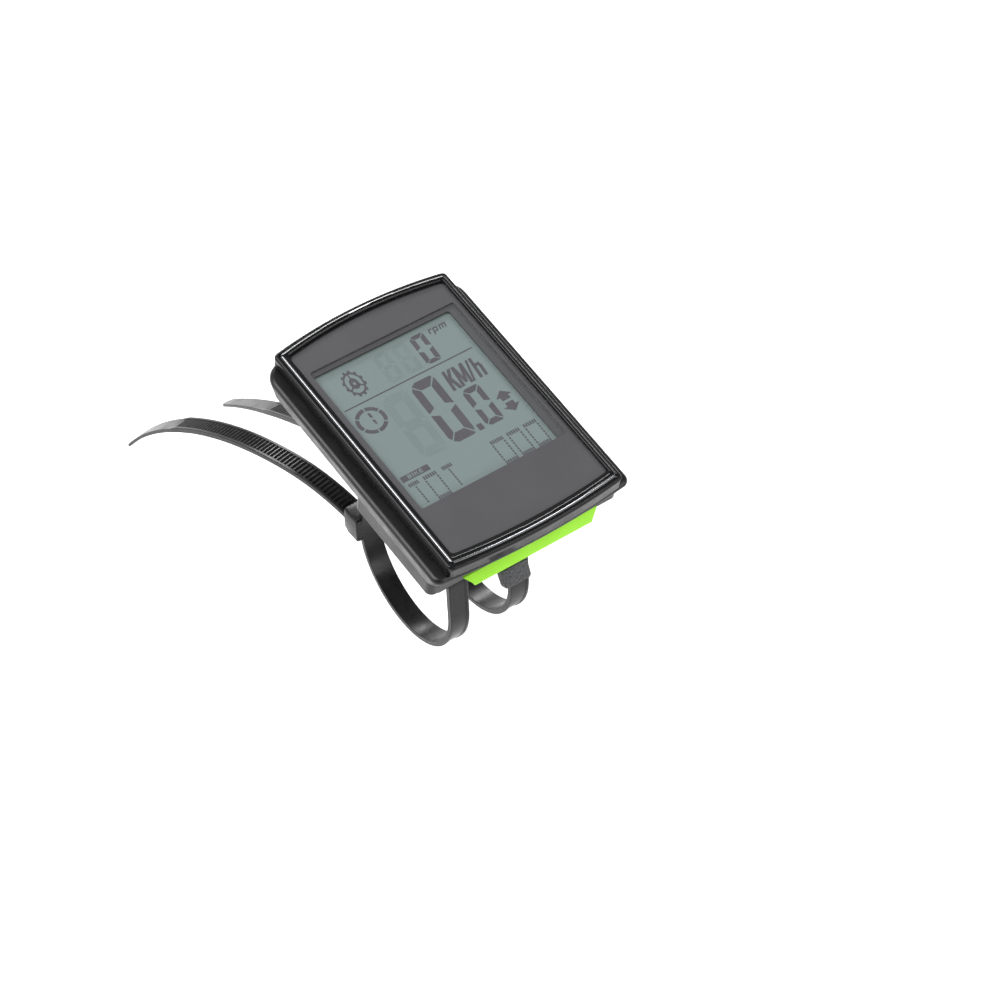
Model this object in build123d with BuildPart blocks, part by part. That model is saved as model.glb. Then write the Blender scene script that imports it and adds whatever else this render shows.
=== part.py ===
from build123d import *
from math import cos, radians, sin
import os

os.makedirs("parts", exist_ok=True)

# Cycling computer on its handlebar bracket. Millimetres.
# X runs along the handlebar, +Y points forward and +Z out of the display.
# The origin is on the handlebar's axis, halfway between the two cable ties.

# Handlebar, bracket and rubber pad
bar_d = 31.8
pad_t = 1.5
pad_near = 50.0  # degrees of bar that the pad covers on the rider's side of the top
pad_far = 66.0  # and on the far side
base_w = 26.0  # along the bar
base_near_turn = 45.9  # degrees round the bar from its top to the base's edge on the rider's side
base_far_turn = 52.9
base_corner_r = 1.5
base_edge = 0.8
saddle_t = 1.4  # base between the pad and a strap
roof_t = 1.5  # base above a strap
strap_space = 0.7  # free height above a strap in its slot
slot_side = 0.3  # free width beside a strap in its slot

# Cable ties
tie_pitch = 15.6
tie_w = 4.8
tie_t = 1.3
tie_slack = 0.05  # between a strap and the bar
tie_head_w = 7.6
tie_head_l = 6.6
tie_head_h = 5.6
tie_head_angle = 99.0  # degrees round the bar from the top, on the far side
tail_root = 20.5  # from the bar's axis to where a tail leaves its head
tail_start = -3.0  # where a tail starts, from its root
tail_drop = -5.2
# Each tail runs in an upright plane of its own: its turn from straight ahead, its first
# heading, and then runs of strap with the angle that each one bends down.
tails = {
    "tie_left": (-tie_pitch / 2, 10.0, 12.0, ((24.0, -29.0), (34.0, -22.0), (38.0, -25.0))),
    "tie_right": (tie_pitch / 2, 0.0, -8.0, ((24.0, -23.0), (34.0, -6.0), (38.0, -12.0))),
}

# Rail on the bracket, and the channel in the head that slides on it
rail_w = 24.0
neck_w = 17.0
rail_t = 1.8
rail_near = 12.2  # rail's end on the rider's side
rail_far = 7.5
rail_lead = 1.2  # chamfer that leads the head onto the rail
slide_gap = 0.15
stop_gap = 0.2
channel_over = 5.0  # how far the channel runs on past the thick part
door_pass = 0.2  # between the battery door and the rail that it passes over

# Release lever
lever_w = 6.7
lever_side = 0.35
knuckle_r = 1.25
knuckle_y = -9.0
knuckle_gap = 0.35
arm_t = 1.2
trunnion_r = 0.7
trunnion_l = 1.2
trunnion_gap = 0.1
lever_drop = 0.7  # free depth for the arm when the lever is pressed
lever_out = 1.0  # how far the lever's pocket is cut beyond the base
tab_reach = 9.0  # how far the tab stands out from the base
tab_h = 4.2
tab_t = 1.7
tab_foot = 0.4  # extra thickness where the tab meets the arm
tab_corner_r = 0.8
tab_lean = 31.5  # degrees that the tab leans away from the vertical
under_gap = 0.3  # between the lever and the head above it
head_gap = 1.0  # between the base and the head

# Head: front case
head_x = 4.6  # the head's middle, from the origin
head_y = 9.8
frame_w = 44.0
frame_l = 64.6  # at the corners
bulge_far = 2.1  # how far the far edge bows out
bulge_near = 1.45
frame_corner_r = 1.4
inner_corner_r = 0.5  # least corner radius of an outline moved inwards
front_depth = 3.4
rim_drop = 0.1
rim_w = 0.9
rim_round = 0.35
ledge_w = 2.0
ledge_t = 0.5
shell_gap = 0.1
spigot_in = 1.9  # from the frame's outline to the spigot's outside
spigot_t = 0.9
spigot_l = 1.0

# Head: rear case
flange = 2.7  # how far the rear case stands out beside the front case
flank_draw = 0.6  # how much narrower its floor is, each side
rear_trim = 0.4  # how much shorter than the front case it is at each end
end_draw_near = 1.9
end_draw_far = 1.0
rear_corner_far = 5.0
rear_corner_near = 2.0
flank_round = 1.0
parting_gap = 0.25
flank_straight = 1.2
case_depth = 8.0
floor_t = 1.1
gasket_t = 0.5
ledge_in = 3.2  # from the frame's outline to the lower cavity's wall

# Head: thick part with the channel
foot_depth = 3.9
foot_far = 2.1  # its far edge, on the rider's side of the head's middle
foot_near = 29.5
foot_corner_r = 1.6

# Display
lens_t = 1.2
lens_gap = 0.05
lens_chamfer = 0.45
mask_t = 0.15
lcd_gap = 0.15
lcd_t = 1.3
lcd_side = 3.2  # from the frame's outline to the glass
lcd_far = 24.2
lcd_near = 18.4
view_left = 18.2
view_right = 16.6
view_far = 23.0
view_near = 17.0
tray_t = 1.1
tray_rim = 2.2
tray_foot = 0.2
tray_foot_r = 0.9
strip_w = 2.0
strip_gap = 0.05
strip_end = 0.5  # between the strip's end and its slot

# Electronics
board_t = 0.8
board_gap = 0.2
cell_d = 20.0
cell_t = 3.2
cell_y = 13.5  # cell's middle, forward of the head's middle
cell_gap = 0.4
cell_step = 1.0  # how much smaller the negative face is
cell_step_t = 0.3
cell_round = 0.4
contact_t = 0.2
contact_w = 5.0
contact_over = 1.5  # how far the bridge rests on the board at each end
leaf_l = 1.2
leaf_foot = 2.4
leaf_gap = 0.05
chip_w = 7.0
chip_t = 0.9
chip_place = (-5.0, -12.0)
radio_w = 4.0
radio_t = 0.8
radio_place = (8.0, -10.0)
chip_edge = 0.15
crystal_l = 5.0
crystal_w = 2.6
crystal_t = 1.2
crystal_r = 0.8
crystal_place = (3.0, -18.0)
capacitor_l = 1.6
capacitor_w = 0.8
capacitor_t = 0.7
capacitor_places = (
    (-11.0, -8.0),
    (-11.0, -12.0),
    (-11.0, -16.0),
    (1.5, -8.0),
    (13.0, -14.0),
    (8.0, -15.0),
)
switch_w = 4.4
switch_l = 2.6
switch_t = 1.1
plunger_r = 0.75
plunger_out = 0.3
plunger_in = 0.15
plunger_gap = 0.05

# Battery door
door_gap = 0.07
door_wall = 0.65
door_floor_gap = 0.05
door_flange = 1.6
door_flange_t = 0.7
door_edge = 0.25
lug_out = 0.7
lug_t = 0.6
lug_arc = 24.0
notch_spare = 4.0  # degrees that a notch is wider than its lug
door_turn = 60.0  # degrees from locked to free
collar_t = 1.4
coin_slot_w = 1.9
coin_slot_l = 13.0
coin_slot_depth = 0.45
seal_t = 0.5
seal_in = 0.35

# Key along the rider's edge
key_w_top = 34.1
key_w_bottom = 29.8
key_top_out = 31.2  # from the head's middle to the key's upper edge
key_slope_out = 1.5
key_slope_h = 2.15
key_h = 2.65
key_behind = 0.15  # between the key and the thick part behind it
key_edge = 0.3
key_foot_w = 3.0
key_foot_h = 1.5
key_travel = 0.3
key_gap = 0.35
key_pitch = 22.0
stem_r = 1.05
stem_y = -28.4
stem_gap = 0.07
cap_r = 1.5
cap_t = 0.4
cap_round = 0.12
cap_gap = 0.05  # between a cap and its plunger
foot_clear = 0.35
pocket_over = 2.0  # how far a foot's pocket runs on past the thick part

# Screws
screw_side = 5.6  # from the frame's side to a screw
screw_ahead = 4.9  # from its corner's edge to a screw
screw_r = 0.75
screw_head_r = 1.45
screw_head_t = 0.9
screw_gap = 0.15
screw_end = 0.4  # from the boss's top to the screw's end
cross_l = 1.6
cross_w = 0.35
cross_depth = 0.5
boss_r = 1.8
post_r = 2.2
seat_in = 0.1  # from the floor's inner face to a screw's seat

# Levels above the bar's axis, and depths below the top of the lens
bar_r = bar_d / 2
pad_r = bar_r + pad_t
saddle_r = pad_r + saddle_t
slot_r = saddle_r + tie_t + strap_space
base_near = saddle_r * sin(radians(base_near_turn))
base_far = saddle_r * sin(radians(base_far_turn))
base_top = slot_r + roof_t
head_depth = case_depth + foot_depth
lens_top = base_top + head_gap + head_depth
foot_bottom = lens_top - head_depth
rail_top = lens_top - case_depth - door_floor_gap - door_flange_t - door_pass
rail_bottom = rail_top - rail_t
channel_top = rail_top + slide_gap
lip_top = rail_bottom - slide_gap
mask_depth = lens_t
ledge_depth = mask_depth + mask_t
lcd_depth = ledge_depth + lcd_gap
tray_depth = lcd_depth + lcd_t
board_depth = tray_depth + tray_t + tray_foot
board_back = board_depth + board_t
floor_depth = case_depth - floor_t
spigot_end = front_depth + spigot_l
rim_depth = front_depth + parting_gap
ledge_floor = spigot_end + gasket_t
boss_top = ledge_depth + ledge_t
cell_r = cell_d / 2
screw_x = frame_w / 2 - screw_side
screw_y = frame_l / 2 - screw_ahead
door_depth = board_depth + cell_t
door_r = cell_r + cell_gap + door_wall
hole_r = door_r + door_gap
key_depth = case_depth + key_gap
plunger_end = board_back + switch_t + plunger_out
cap_top = plunger_end + cap_gap
arm_low = foot_bottom - under_gap - arm_t
knuckle_z = arm_low + arm_t / 2
base_low = bar_r / 4
channel_end = -rail_near - stop_gap
channel_l = head_y - foot_far - channel_end + channel_over
channel_mid = channel_end + channel_l / 2
pocket_far = stem_y + stem_r + foot_clear
pocket_l = foot_near + pocket_far + pocket_over
pocket_y = pocket_far - pocket_l / 2


def level(depth):
    """Plane through the head's middle, so far below the top of the lens."""
    return Plane(origin=(head_x, head_y, lens_top - depth))


def case_face(half_w, far, near, bow_far, bow_near, r_far, r_near):
    """Outline with straight sides, bowed ends and round corners."""
    with BuildSketch() as face:
        with BuildLine():
            Line((-half_w, -near), (-half_w, far))
            ThreePointArc((-half_w, far), (0, far + bow_far), (half_w, far))
            Line((half_w, far), (half_w, -near))
            ThreePointArc((half_w, -near), (0, -near - bow_near), (-half_w, -near))
        make_face()
        fillet(face.vertices().group_by(Axis.Y)[-1], r_far)
        fillet(face.vertices().group_by(Axis.Y)[0], r_near)
    return face.sketch


def frame_face(inset):
    """The front case's outline, moved inwards."""
    r = max(frame_corner_r - inset, inner_corner_r)
    half_l = frame_l / 2 - inset
    return case_face(frame_w / 2 - inset, half_l, half_l, bulge_far, bulge_near, r, r)


def rear_face(draw_side, draw_far, draw_near):
    """The rear case's outline, drawn in by the given amounts."""
    return case_face(
        frame_w / 2 + flange - draw_side,
        frame_l / 2 - rear_trim - draw_far,
        frame_l / 2 - rear_trim - draw_near,
        bulge_far,
        bulge_near,
        rear_corner_far,
        rear_corner_near,
    )


def lugs(arc, outer_r, turn):
    """Three segments of a ring, as on a bayonet lid."""
    with BuildSketch() as ring:
        with PolarLocations(0, 3, start_angle=turn):
            with BuildLine():
                half = arc / 2
                a = (outer_r * cos(radians(half)), -outer_r * sin(radians(half)))
                b = (a[0], -a[1])
                Line((0, 0), a)
                ThreePointArc(a, (outer_r, 0), b)
                Line(b, (0, 0))
            make_face()
    return ring.sketch


def save(node, name):
    node.part.label = name
    export_step(node.part, "parts/" + name + ".step")


# ---------------------------------------------------------------- front case
with BuildPart() as front_case:
    with BuildSketch(level(rim_drop)):
        add(frame_face(0))
    extrude(amount=rim_drop - front_depth)
    fillet(front_case.edges().group_by(Axis.Z)[-1], rim_round)
    with BuildSketch(level(front_depth)):
        add(frame_face(spigot_in))
    extrude(amount=-spigot_l)
    with BuildSketch(level(0)):
        add(frame_face(rim_w))
    extrude(amount=-ledge_depth, mode=Mode.SUBTRACT)
    with BuildSketch(level(ledge_depth)):
        add(frame_face(rim_w + ledge_w))
    extrude(amount=-spigot_end, mode=Mode.SUBTRACT)
    with BuildSketch(level(boss_top)):
        add(frame_face(spigot_in + spigot_t))
    extrude(amount=-spigot_end, mode=Mode.SUBTRACT)
    # Corner blocks with the bosses that the case screws bite into
    with BuildSketch(level(boss_top)):
        with GridLocations(2 * screw_x, 2 * screw_y, 2, 2):
            Circle(boss_r)
    extrude(amount=boss_top - board_depth)
    with BuildSketch(level(ledge_depth)):
        with GridLocations(2 * screw_x, 2 * screw_y, 2, 2):
            Rectangle(2 * (frame_w / 2 - spigot_in - screw_x), 2 * (frame_l / 2 - spigot_in - screw_y))
    extrude(amount=-ledge_t)
    with BuildSketch(level(board_depth)):
        with GridLocations(2 * screw_x, 2 * screw_y, 2, 2):
            Circle(screw_r)
    extrude(amount=board_depth - boss_top, mode=Mode.SUBTRACT)
save(front_case, "front_case")

# ---------------------------------------------------------------- lens and mask
with BuildPart() as lens:
    with BuildSketch(level(0)):
        add(frame_face(rim_w + lens_gap))
    extrude(amount=-lens_t)
    chamfer(lens.edges().group_by(Axis.Z)[-1], lens_chamfer)
save(lens, "lens")

with BuildPart() as display_mask:
    with BuildSketch(level(mask_depth)):
        add(frame_face(rim_w + lens_gap))
        with Locations(((view_right - view_left) / 2, (view_far - view_near) / 2)):
            Rectangle(view_left + view_right, view_far + view_near, mode=Mode.SUBTRACT)
    extrude(amount=-mask_t)
save(display_mask, "display_mask")

# ---------------------------------------------------------------- rear case
with BuildPart() as rear_case:
    with BuildSketch(level(rim_depth)):
        add(rear_face(0, 0, 0))
    extrude(amount=-flank_straight)
    with BuildSketch(level(rim_depth + flank_straight)):
        add(rear_face(0, 0, 0))
    with BuildSketch(level(case_depth)):
        add(rear_face(flank_draw, end_draw_far, end_draw_near))
    loft()
    fillet(rear_case.edges().group_by(Axis.Z)[-1], flank_round)
    # Thick part under the rider's half
    with BuildSketch(level(case_depth)) as foot:
        with Locations((0, -(foot_far + foot_near) / 2)):
            Rectangle(frame_w + 2 * flange - 2 * flank_draw, foot_near - foot_far)
        fillet(foot.vertices(), foot_corner_r)
    extrude(amount=-foot_depth)
    # Opening for the front case's spigot, its gasket ledge and the cavity
    with BuildSketch(level(rim_depth)):
        add(frame_face(spigot_in - shell_gap))
    extrude(amount=rim_depth - ledge_floor, mode=Mode.SUBTRACT)
    with BuildSketch(level(ledge_floor)):
        add(frame_face(ledge_in))
    extrude(amount=ledge_floor - floor_depth, mode=Mode.SUBTRACT)
    # Collar round the battery
    with BuildSketch(level(board_back + seal_t)):
        with Locations((0, cell_y)):
            Circle(hole_r + lug_out + collar_t)
    extrude(amount=board_back + seal_t - floor_depth)
    # Screw posts
    with BuildSketch(level(board_back)):
        with GridLocations(2 * screw_x, 2 * screw_y, 2, 2):
            Circle(post_r)
    extrude(amount=board_back - floor_depth)
    with BuildSketch(level(board_back)):
        with GridLocations(2 * screw_x, 2 * screw_y, 2, 2):
            Circle(screw_r + screw_gap)
    extrude(amount=board_back - floor_depth - seat_in, mode=Mode.SUBTRACT)
    with BuildSketch(level(floor_depth + seat_in)):
        with GridLocations(2 * screw_x, 2 * screw_y, 2, 2):
            Circle(screw_head_r + screw_gap)
    extrude(amount=-head_depth, mode=Mode.SUBTRACT)
    # Battery opening: a deep round well, and notches that let the door's lugs through
    with BuildSketch(level(board_back)):
        with Locations((0, cell_y)):
            Circle(hole_r + lug_out)
    extrude(amount=board_back - floor_depth, mode=Mode.SUBTRACT)
    with BuildSketch(level(floor_depth)):
        with Locations((0, cell_y)):
            Circle(hole_r)
    extrude(amount=-head_depth, mode=Mode.SUBTRACT)
    with BuildSketch(level(floor_depth)):
        with Locations((0, cell_y)):
            add(lugs(lug_arc + notch_spare, hole_r + lug_out, door_turn))
    extrude(amount=-floor_t, mode=Mode.SUBTRACT)
    # Channel for the bracket's rail, closed on the rider's side
    with BuildSketch(Plane.XY.offset(foot_bottom)):
        with Locations((0, channel_mid)):
            Rectangle(neck_w + 2 * slide_gap, channel_l)
    extrude(amount=channel_top - foot_bottom, mode=Mode.SUBTRACT)
    with BuildSketch(Plane.XY.offset(lip_top)):
        with Locations((0, channel_mid)):
            Rectangle(rail_w + 2 * slide_gap, channel_l)
    extrude(amount=channel_top - lip_top, mode=Mode.SUBTRACT)
    # Pockets for the key's feet, and the holes that its stems pass through
    with BuildSketch(level(case_depth)):
        with Locations((-key_pitch / 2, pocket_y), (key_pitch / 2, pocket_y)):
            Rectangle(key_foot_w + 2 * foot_clear, pocket_l)
    extrude(amount=-foot_depth, mode=Mode.SUBTRACT)
    with BuildSketch(level(floor_depth)):
        with Locations((-key_pitch / 2, stem_y), (key_pitch / 2, stem_y)):
            Circle(stem_r + stem_gap)
    extrude(amount=-floor_t, mode=Mode.SUBTRACT)
save(rear_case, "rear_case")

# ---------------------------------------------------------------- gasket and screws
with BuildPart() as case_gasket:
    with BuildSketch(level(spigot_end)):
        add(frame_face(spigot_in))
        add(frame_face(spigot_in + spigot_t), mode=Mode.SUBTRACT)
    extrude(amount=-gasket_t)
save(case_gasket, "case_gasket")

with BuildPart() as case_screws:
    with BuildSketch(level(boss_top + screw_end)):
        with GridLocations(2 * screw_x, 2 * screw_y, 2, 2):
            Circle(screw_r)
    extrude(amount=boss_top + screw_end - floor_depth - seat_in)
    with BuildSketch(level(floor_depth + seat_in)):
        with GridLocations(2 * screw_x, 2 * screw_y, 2, 2):
            Circle(screw_head_r)
    extrude(amount=-screw_head_t)
    with BuildSketch(level(floor_depth + seat_in + screw_head_t)):
        with GridLocations(2 * screw_x, 2 * screw_y, 2, 2):
            Rectangle(cross_l, cross_w)
            Rectangle(cross_w, cross_l)
    extrude(amount=cross_depth, mode=Mode.SUBTRACT)
save(case_screws, "case_screws")

# ---------------------------------------------------------------- display
glass_half_w = frame_w / 2 - lcd_side
with BuildPart() as lcd_glass:
    with BuildSketch(level(lcd_depth)):
        with Locations((0, (lcd_far - lcd_near) / 2)):
            Rectangle(2 * glass_half_w, lcd_far + lcd_near)
    extrude(amount=-lcd_t)
save(lcd_glass, "lcd_glass")

strip_y = -lcd_near + tray_rim / 2 + strip_w / 2
with BuildPart() as lcd_tray:
    with BuildSketch(level(tray_depth)):
        with Locations((0, (lcd_far - lcd_near) / 2)):
            Rectangle(2 * glass_half_w, lcd_far + lcd_near)
    extrude(amount=-tray_t)
    with BuildSketch(level(tray_depth)):
        with Locations((0, strip_y)):
            Rectangle(2 * glass_half_w - 2 * tray_rim, strip_w + 2 * strip_gap)
    extrude(amount=-tray_t, mode=Mode.SUBTRACT)
    with BuildSketch(level(tray_depth + tray_t)):
        with Locations((0, (lcd_far - lcd_near) / 2)):
            with GridLocations(2 * glass_half_w - tray_rim, lcd_far + lcd_near - tray_rim, 2, 2):
                Circle(tray_foot_r)
    extrude(amount=-tray_foot)
save(lcd_tray, "lcd_tray")

with BuildPart() as zebra_strip:
    with BuildSketch(level(tray_depth)):
        with Locations((0, strip_y)):
            Rectangle(2 * (glass_half_w - tray_rim - strip_end), strip_w)
    extrude(amount=tray_depth - board_depth)
save(zebra_strip, "zebra_strip")

# ---------------------------------------------------------------- circuit board
with BuildPart() as circuit_board:
    with BuildSketch(level(board_depth)):
        add(frame_face(ledge_in + board_gap))
        with Locations((0, cell_y)):
            Circle(cell_r + cell_gap, mode=Mode.SUBTRACT)
        with GridLocations(2 * screw_x, 2 * screw_y, 2, 2):
            Circle(screw_r + screw_gap, mode=Mode.SUBTRACT)
    extrude(amount=-board_t)
save(circuit_board, "circuit_board")

with BuildPart() as controller_chip:
    with BuildSketch(level(board_back)):
        with Locations(chip_place):
            Rectangle(chip_w, chip_w)
    extrude(amount=-chip_t)
    chamfer(controller_chip.edges().group_by(Axis.Z)[0], chip_edge)
save(controller_chip, "controller_chip")

with BuildPart() as radio_chip:
    with BuildSketch(level(board_back)):
        with Locations(radio_place):
            Rectangle(radio_w, radio_w)
    extrude(amount=-radio_t)
    chamfer(radio_chip.edges().group_by(Axis.Z)[0], chip_edge)
save(radio_chip, "radio_chip")

with BuildPart() as crystal:
    with BuildSketch(level(board_back)) as can:
        with Locations(crystal_place):
            Rectangle(crystal_l, crystal_w)
        fillet(can.vertices(), crystal_r)
    extrude(amount=-crystal_t)
save(crystal, "crystal")

with BuildPart() as chip_capacitors:
    with BuildSketch(level(board_back)):
        with Locations(*capacitor_places):
            Rectangle(capacitor_l, capacitor_w)
    extrude(amount=-capacitor_t)
save(chip_capacitors, "chip_capacitors")

# ---------------------------------------------------------------- coin cell and its contacts
with BuildPart() as coin_cell:
    with BuildSketch(level(board_depth)):
        with Locations((0, cell_y)):
            Circle(cell_r - cell_step)
    extrude(amount=-cell_step_t)
    with BuildSketch(level(board_depth + cell_step_t)):
        with Locations((0, cell_y)):
            Circle(cell_r)
    extrude(amount=cell_step_t - cell_t)
    fillet(coin_cell.edges().group_by(Axis.Z)[0], cell_round)
save(coin_cell, "coin_cell")

with BuildPart() as contact_negative:
    with BuildSketch(level(board_depth - tray_foot)):
        with Locations((0, cell_y)):
            Rectangle(2 * (cell_r + cell_gap + contact_over), contact_w)
    extrude(amount=-tray_foot)
save(contact_negative, "contact_negative")

# A folded leaf on the back of the board, pressing on the cell's rim
leaf_y = cell_y - cell_r - contact_t / 2 - leaf_gap
with BuildPart() as contact_positive:
    with BuildSketch(level(board_back)):
        with Locations((0, leaf_y + contact_t / 2 - leaf_foot / 2)):
            Rectangle(contact_w, leaf_foot)
    extrude(amount=-contact_t)
    with BuildSketch(level(board_back)):
        with Locations((0, leaf_y)):
            Rectangle(contact_w, contact_t)
    extrude(amount=-leaf_l)
save(contact_positive, "contact_positive")

# ---------------------------------------------------------------- switches and key
key_places = ((-key_pitch / 2, stem_y), (key_pitch / 2, stem_y))
switch_face = board_back + switch_t
plunger_top = switch_face - plunger_in
with BuildPart() as tact_switches:
    with BuildSketch(level(board_back)):
        with Locations(*key_places):
            Rectangle(switch_w, switch_l)
    extrude(amount=-switch_t)
    with BuildSketch(level(switch_face)):
        with Locations(*key_places):
            Circle(plunger_r + plunger_gap)
    extrude(amount=plunger_in + key_travel + cap_gap, mode=Mode.SUBTRACT)
save(tact_switches, "tact_switches")

with BuildPart() as switch_plungers:
    with BuildSketch(level(plunger_top)):
        with Locations(*key_places):
            Circle(plunger_r)
    extrude(amount=plunger_top - plunger_end)
save(switch_plungers, "switch_plungers")

with BuildPart() as key_caps:
    with BuildSketch(level(cap_top)):
        with Locations(*key_places):
            Circle(cap_r)
    extrude(amount=-cap_t)
    fillet(key_caps.edges().group_by(Axis.Z)[-1], cap_round)
save(key_caps, "key_caps")

key_inner = foot_near + key_behind
slope_end = key_depth + key_slope_h
foot_l = key_inner + stem_y + stem_r
foot_mid = stem_y + stem_r - foot_l / 2
with BuildPart() as key_bar:
    with BuildSketch(level(key_depth)):
        with Locations((0, -(key_inner + key_top_out) / 2)):
            Rectangle(key_w_top, key_top_out - key_inner)
    with BuildSketch(level(slope_end)):
        with Locations((0, -(key_inner + key_top_out + key_slope_out) / 2)):
            Rectangle(key_w_bottom, key_top_out + key_slope_out - key_inner)
    loft()
    with BuildSketch(level(slope_end)):
        with Locations((0, -(key_inner + key_top_out + key_slope_out) / 2)):
            Rectangle(key_w_bottom, key_top_out + key_slope_out - key_inner)
    extrude(amount=key_slope_h - key_h)
    chamfer(key_bar.edges().group_by(Axis.Z)[0].group_by(Axis.Y)[0], key_edge)
    with BuildSketch(level(key_depth)):
        with Locations(*[(x, foot_mid) for x, y in key_places]):
            Rectangle(key_foot_w, foot_l)
    extrude(amount=-key_foot_h)
    with BuildSketch(level(key_depth)):
        with Locations(*key_places):
            Circle(stem_r)
    extrude(amount=key_depth - cap_top - cap_t)
save(key_bar, "key_bar")

# ---------------------------------------------------------------- battery door
door_top = floor_depth - door_floor_gap - lug_t
door_seat = case_depth + door_floor_gap
with BuildPart() as battery_door:
    with BuildSketch(level(door_top)):
        with Locations((0, cell_y)):
            Circle(door_r)
            add(lugs(lug_arc, hole_r + lug_out - door_gap, 0.0))
    extrude(amount=-lug_t)
    with BuildSketch(level(door_top + lug_t)):
        with Locations((0, cell_y)):
            Circle(door_r)
    extrude(amount=door_top + lug_t - door_seat)
    with BuildSketch(level(door_seat)):
        with Locations((0, cell_y)):
            Circle(door_r + door_flange)
    extrude(amount=-door_flange_t)
    chamfer(battery_door.edges().group_by(Axis.Z)[0], door_edge)
    with BuildSketch(level(door_top)):
        with Locations((0, cell_y)):
            Circle(cell_r + cell_gap)
    extrude(amount=door_top - door_depth - door_floor_gap, mode=Mode.SUBTRACT)
    with BuildSketch(level(door_depth + door_floor_gap)):
        with Locations((0, cell_y)):
            Circle(door_r)
            Circle(door_r - seal_in, mode=Mode.SUBTRACT)
    extrude(amount=-seal_t, mode=Mode.SUBTRACT)
    with BuildSketch(level(door_seat + door_flange_t)):
        with Locations((0, cell_y)):
            SlotOverall(coin_slot_l, coin_slot_w)
    extrude(amount=coin_slot_depth, mode=Mode.SUBTRACT)
save(battery_door, "battery_door")

with BuildPart() as door_seal:
    with BuildSketch(level(door_depth + door_floor_gap)):
        with Locations((0, cell_y)):
            Circle(door_r + door_gap / 2)
            Circle(door_r - seal_in, mode=Mode.SUBTRACT)
    extrude(amount=-seal_t)
save(door_seal, "door_seal")

# ---------------------------------------------------------------- rubber pad and bracket
base_mid = (base_far - base_near) / 2
with BuildPart() as rubber_pad:
    with BuildSketch(Plane.YZ):
        with BuildLine():
            inner = CenterArc((0, 0), bar_r, 90 - pad_far, pad_far + pad_near)
            outer = CenterArc((0, 0), pad_r, 90 - pad_far, pad_far + pad_near)
            Line(inner @ 0, outer @ 0)
            Line(inner @ 1, outer @ 1)
        make_face()
    extrude(amount=base_w / 2, both=True)
save(rubber_pad, "rubber_pad")

with BuildPart() as bracket:
    with BuildSketch(Plane.XY.offset(base_low)) as base:
        with Locations((0, base_mid)):
            Rectangle(base_w, base_near + base_far)
        fillet(base.vertices(), base_corner_r)
    extrude(amount=base_top - base_low)
    chamfer(bracket.edges().group_by(Axis.Z)[-1], base_edge)
    with BuildSketch(Plane.XY.offset(base_top)):
        with Locations((0, (rail_far - rail_near) / 2)):
            Rectangle(neck_w, rail_far + rail_near)
    extrude(amount=rail_bottom - base_top)
    with BuildSketch(Plane.XY.offset(rail_bottom)) as rail:
        with Locations((0, (rail_far - rail_near) / 2)):
            Rectangle(rail_w, rail_far + rail_near)
        chamfer(rail.vertices().group_by(Axis.Y)[-1], rail_lead)
    extrude(amount=rail_t)
    with BuildSketch(Plane.YZ):
        Circle(pad_r)
    extrude(amount=base_w, both=True, mode=Mode.SUBTRACT)
    # Curved slots that the cable ties pass through
    for x in (-tie_pitch / 2, tie_pitch / 2):
        with BuildSketch(Plane.YZ.offset(x)):
            Circle(slot_r)
            Circle(saddle_r, mode=Mode.SUBTRACT)
        extrude(amount=tie_w / 2 + slot_side, both=True, mode=Mode.SUBTRACT)
    # Pocket and bearing holes of the release lever
    with BuildSketch(Plane.YZ) as pocket:
        with Locations((knuckle_y, knuckle_z)):
            Circle(knuckle_r + knuckle_gap)
        with Locations(((knuckle_y - base_near - lever_out) / 2, (rail_top + arm_low - lever_drop) / 2)):
            Rectangle(base_near + lever_out + knuckle_y, rail_top - arm_low + lever_drop)
        with Locations((knuckle_y, (knuckle_z + rail_top + lever_out) / 2)):
            Rectangle(2 * (knuckle_r + knuckle_gap), rail_top + lever_out - knuckle_z)
    extrude(amount=lever_w / 2 + lever_side, both=True, mode=Mode.SUBTRACT)
    with BuildSketch(Plane.YZ):
        with Locations((knuckle_y, knuckle_z)):
            Circle(trunnion_r + stem_gap)
    extrude(amount=lever_w / 2 + trunnion_l + trunnion_gap, both=True, mode=Mode.SUBTRACT)
save(bracket, "bracket")

# ---------------------------------------------------------------- release lever
tab_run = tab_h * sin(radians(tab_lean))
tab_drop = tab_h * cos(radians(tab_lean))
tab_top = (-base_near - tab_reach, foot_bottom - under_gap)
tab_end = (tab_top[0] - tab_run, tab_top[1] - tab_drop)
tab_in = (tab_t * cos(radians(tab_lean)), -tab_t * sin(radians(tab_lean)))
with BuildPart() as release_lever:
    with BuildSketch(Plane.YZ):
        with Locations((knuckle_y, knuckle_z)):
            Circle(knuckle_r)
        with BuildLine():
            Polyline(
                (knuckle_y, arm_low + arm_t),
                tab_top,
                tab_end,
                (tab_end[0] + tab_in[0], tab_end[1] + tab_in[1]),
                (tab_top[0] + tab_in[0] + tab_foot, arm_low),
                (knuckle_y, arm_low),
                close=True,
            )
        make_face()
    extrude(amount=lever_w / 2, both=True)
    corners = release_lever.edges().filter_by(Axis.X, reverse=True).filter_by(GeomType.LINE)
    fillet(corners.sort_by(Axis.Y)[0:4].group_by(Axis.Z)[0], tab_corner_r)
    with BuildSketch(Plane.YZ):
        with Locations((knuckle_y, knuckle_z)):
            Circle(trunnion_r)
    extrude(amount=lever_w / 2 + trunnion_l, both=True)
save(release_lever, "release_lever")

# ---------------------------------------------------------------- cable ties
head_mid = bar_r + tie_slack + tie_head_h / 2


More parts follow.
